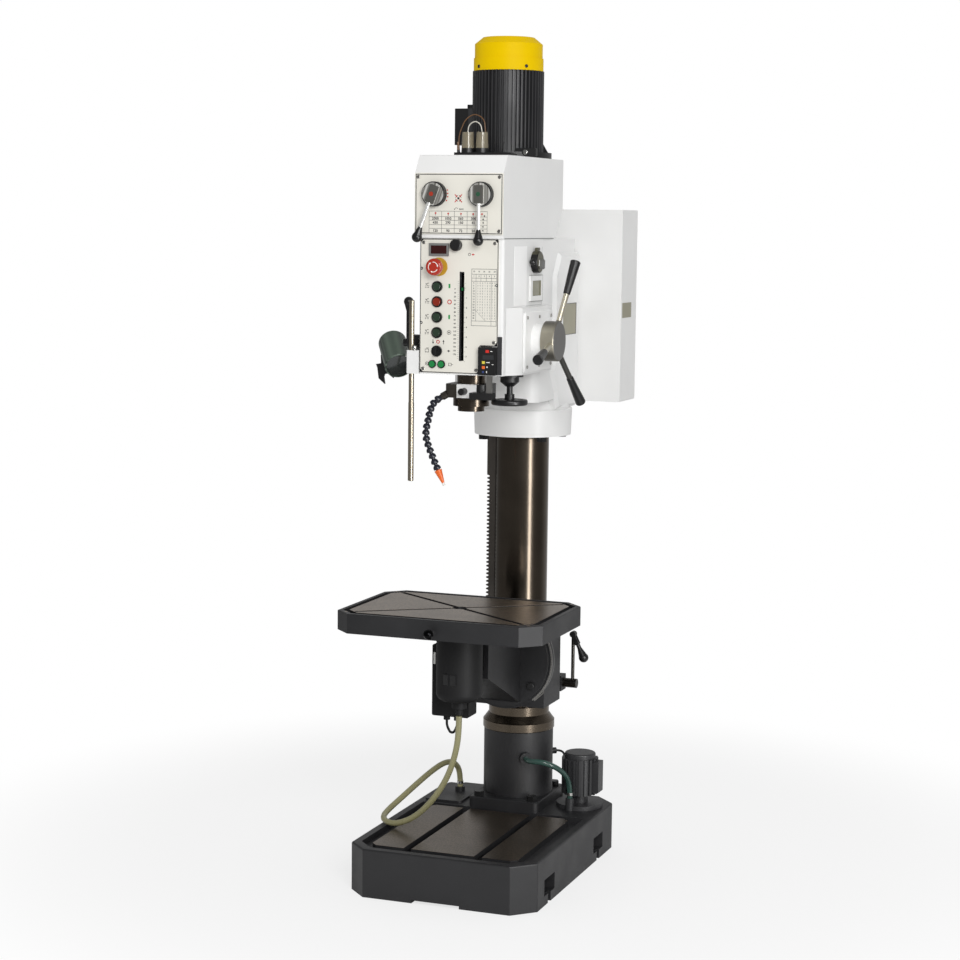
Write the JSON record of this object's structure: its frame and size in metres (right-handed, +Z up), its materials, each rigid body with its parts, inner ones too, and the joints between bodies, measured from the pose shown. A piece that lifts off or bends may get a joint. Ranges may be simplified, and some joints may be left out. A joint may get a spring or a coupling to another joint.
{
  "type": "gear-head pillar drill",
  "caption": "White and charcoal floor-standing gear-head pillar drill with a tilting table, coolant pump and control panel",
  "frame": {"origin": "column axis at the floor", "axes": "+Z up the column, -Y towards the operator, +X to the operator's right"},
  "size_m": [0.5704, 0.983, 2.28],
  "materials": {
    "charcoal": "satin",
    "white_paint": "satin",
    "cream_panel": "satin",
    "steel": "satin",
    "motor_grey": "satin",
    "yellow_cowl": "satin",
    "black_plastic": "satin",
    "green_plastic": "gloss",
    "red_plastic": "gloss",
    "lamp_green": "satin",
    "relay_plastic": "matte",
    "clear_cup": "gloss",
    "hose_clear": "satin",
    "cable": "matte"
  },
  "bodies": {
    "machine": {"base": "charcoal", "tank_cover": "charcoal", "pump_body": "motor_grey", "supply_hose": "hose_clear", "pump_cable": "cable", "column_foot": "charcoal", "column": "steel", "column_ring": "steel", "head_body": "white_paint", "gear_case": "white_paint", "fasteners": "steel", "upper_panel": "cream_panel", "lower_panel": "cream_panel", "panel_fittings": "black_plastic", "cabinet": "white_paint", "control_gear": "relay_plastic", "motor_body": "motor_grey", "motor_cowl": "yellow_cowl", "oil_feed": "clear_cup", "gear_bearings": "steel", "feed_cover": "white_paint", "head_brackets": "white_paint"},
    "swing_rack": {"rack": "steel", "drain_hose": "hose_clear"},
    "lift_arm": {"table_arm": "charcoal"},
    "lift_crank": {"lift_shaft": "steel"},
    "lift_grip": {"crank_handle": "black_plastic"},
    "lift_pinion": {"lift_gear": "steel"},
    "tilt_table": {"table": "charcoal", "table_fittings": "steel", "catch_pot": "black_plastic", "switch_box": "black_plastic"},
    "quill_slide": {"quill": "steel", "quill_bearings": "steel", "stop_clamp": "white_paint", "coolant_hose": "black_plastic", "quill_scale": "steel"},
    "spindle_turn": {"spindle": "steel"},
    "sleeve_turn": {"spindle_sleeve": "steel"},
    "lay_turn": {"layshaft": "steel"},
    "motor_turn": {"motor_rotor": "motor_grey"},
    "feed_turn": {"feed_shaft": "steel", "feed_hub": "steel", "feed_grips": "black_plastic"},
    "fine_feed": {"handwheel": "black_plastic"},
    "feed_select": {"feed_selector": "black_plastic"},
    "left_lever": {"speed_lever_left": "black_plastic"},
    "right_lever": {"speed_lever_right": "black_plastic"},
    "setting_knob": {"black_knob": "black_plastic"},
    "stop_push": {"estop": "red_plastic"},
    "push_1": {"button_1": "green_plastic"},
    "push_2": {"button_2": "red_plastic"},
    "push_3": {"button_3": "green_plastic"},
    "push_4": {"button_4": "green_plastic"},
    "selector_turn": {"selector_switch": "black_plastic"},
    "guard_slide": {"guard_rod": "steel"},
    "quill_lock": {"lock_lever": "black_plastic"},
    "lamp_tilt": {"lamp_head": "lamp_green"},
    "door_swing": {"cabinet_door": "white_paint"},
    "pump_turn": {"pump_rotor": "motor_grey"}
  },
  "joints": [
    {"name": "table_swing", "type": "hinge", "parent": "machine", "child": "swing_rack", "pos_m": [0, 0, 0.8], "axis": [0, 0, 1], "range_deg": [-45, 45]},
    {"name": "table_lift", "type": "slide", "parent": "swing_rack", "child": "lift_arm", "axis": [0, 0, 1], "range_m": [-0.012, 0.28], "deforming": ["drain_hose"]},
    {"name": "lift_crank_turn", "type": "hinge", "parent": "lift_arm", "child": "lift_crank", "pos_m": [0, 0.112, 0.4605], "axis": [1, 0, 0], "continuous": true},
    {"name": "lift_grip_fold", "type": "hinge", "parent": "lift_crank", "child": "lift_grip", "pos_m": [0.124, 0.112, 0.6045], "axis": [0, 1, 0], "range_deg": [-64, 0]},
    {"name": "lift_pinion_turn", "type": "hinge", "parent": "lift_arm", "child": "lift_pinion", "pos_m": [-0.1175, 0, 0.51], "axis": [0, 1, 0], "continuous": true},
    {"name": "table_tilt", "type": "hinge", "parent": "lift_arm", "child": "tilt_table", "pos_m": [0, -0.1315, 0.568], "axis": [0, 1, 0], "range_deg": [-45, 45]},
    {"name": "quill_feed", "type": "slide", "parent": "machine", "child": "quill_slide", "axis": [0, 0, 1], "range_m": [-0.15, 0]},
    {"name": "spindle_spin", "type": "hinge", "parent": "quill_slide", "child": "spindle_turn", "pos_m": [0, -0.4135, 1.4], "axis": [0, 0, 1], "continuous": true},
    {"name": "sleeve_spin", "type": "hinge", "parent": "machine", "child": "sleeve_turn", "pos_m": [0, -0.4135, 1.8], "axis": [0, 0, 1], "continuous": true},
    {"name": "lay_spin", "type": "hinge", "parent": "machine", "child": "lay_turn", "pos_m": [0, -0.255, 1.8], "axis": [0, 0, 1], "continuous": true},
    {"name": "motor_spin", "type": "hinge", "parent": "machine", "child": "motor_turn", "pos_m": [0, -0.155, 2], "axis": [0, 0, 1], "continuous": true},
    {"name": "feed_wheel", "type": "hinge", "parent": "machine", "child": "feed_turn", "pos_m": [0.2, -0.345, 1.474], "axis": [1, 0, 0], "range_deg": [-10, 310]},
    {"name": "fine_feed_turn", "type": "hinge", "parent": "machine", "child": "fine_feed", "pos_m": [0.11, -0.42, 1.314], "axis": [0, 0, 1], "continuous": true},
    {"name": "feed_select_turn", "type": "hinge", "parent": "machine", "child": "feed_select", "pos_m": [0.134, -0.274, 1.68], "axis": [1, 0, 0], "range_deg": [-45, 45]},
    {"name": "left_speed", "type": "hinge", "parent": "machine", "child": "left_lever", "pos_m": [-0.0645, -0.53, 1.855], "axis": [0, 1, 0], "range_deg": [-40, 40]},
    {"name": "right_speed", "type": "hinge", "parent": "machine", "child": "right_lever", "pos_m": [0.0645, -0.53, 1.855], "axis": [0, 1, 0], "range_deg": [-60, 20]},
    {"name": "setting_turn", "type": "hinge", "parent": "machine", "child": "setting_knob", "pos_m": [-0.0063, -0.52, 1.724], "axis": [0, 1, 0], "range_deg": [-135, 135]},
    {"name": "stop_press", "type": "slide", "parent": "machine", "child": "stop_push", "axis": [0, 1, 0], "range_m": [0, 0.005], "stiffness_N_per_m": 400},
    {"name": "press_1", "type": "slide", "parent": "machine", "child": "push_1", "axis": [0, 1, 0], "range_m": [0, 0.003], "stiffness_N_per_m": 400},
    {"name": "press_2", "type": "slide", "parent": "machine", "child": "push_2", "axis": [0, 1, 0], "range_m": [0, 0.003], "stiffness_N_per_m": 400},
    {"name": "press_3", "type": "slide", "parent": "machine", "child": "push_3", "axis": [0, 1, 0], "range_m": [0, 0.003], "stiffness_N_per_m": 400},
    {"name": "press_4", "type": "slide", "parent": "machine", "child": "push_4", "axis": [0, 1, 0], "range_m": [0, 0.003], "stiffness_N_per_m": 400},
    {"name": "selector_click", "type": "hinge", "parent": "machine", "child": "selector_turn", "pos_m": [-0.0595, -0.52, 1.4485], "axis": [0, 1, 0], "range_deg": [-45, 45]},
    {"name": "guard_height", "type": "slide", "parent": "machine", "child": "guard_slide", "axis": [0, 0, 1], "range_m": [-0.12, 0.06]},
    {"name": "quill_lock_turn", "type": "hinge", "parent": "machine", "child": "quill_lock", "pos_m": [-0.13, -0.455, 1.465], "axis": [1, 0, 0], "range_deg": [-20, 60]},
    {"name": "lamp_nod", "type": "hinge", "parent": "machine", "child": "lamp_tilt", "pos_m": [-0.2238, -0.4, 1.43], "axis": [0.8372, 0.5469, 0], "range_deg": [-35, 35]},
    {"name": "door_open", "type": "hinge", "parent": "machine", "child": "door_swing", "pos_m": [-0.2525, 0.256, 1.55], "axis": [0, 0, 1], "range_deg": [0, 110]},
    {"name": "pump_spin", "type": "hinge", "parent": "machine", "child": "pump_turn", "pos_m": [0.185, 0.006, 0.2], "axis": [0, 0, 1], "continuous": true}
  ],
  "couplings": [
    {"joint": "lift_crank_turn", "follows": "table_lift", "rad_per_m": 571.43},
    {"joint": "lift_pinion_turn", "follows": "table_lift", "rad_per_m": -47.619},
    {"joint": "feed_wheel", "follows": "quill_feed", "rad_per_m": -34.483},
    {"joint": "lay_spin", "follows": "motor_spin", "ratio": -0.43478},
    {"joint": "sleeve_spin", "follows": "motor_spin", "ratio": 0.34091},
    {"joint": "spindle_spin", "follows": "motor_spin", "ratio": 0.34091}
  ]
}
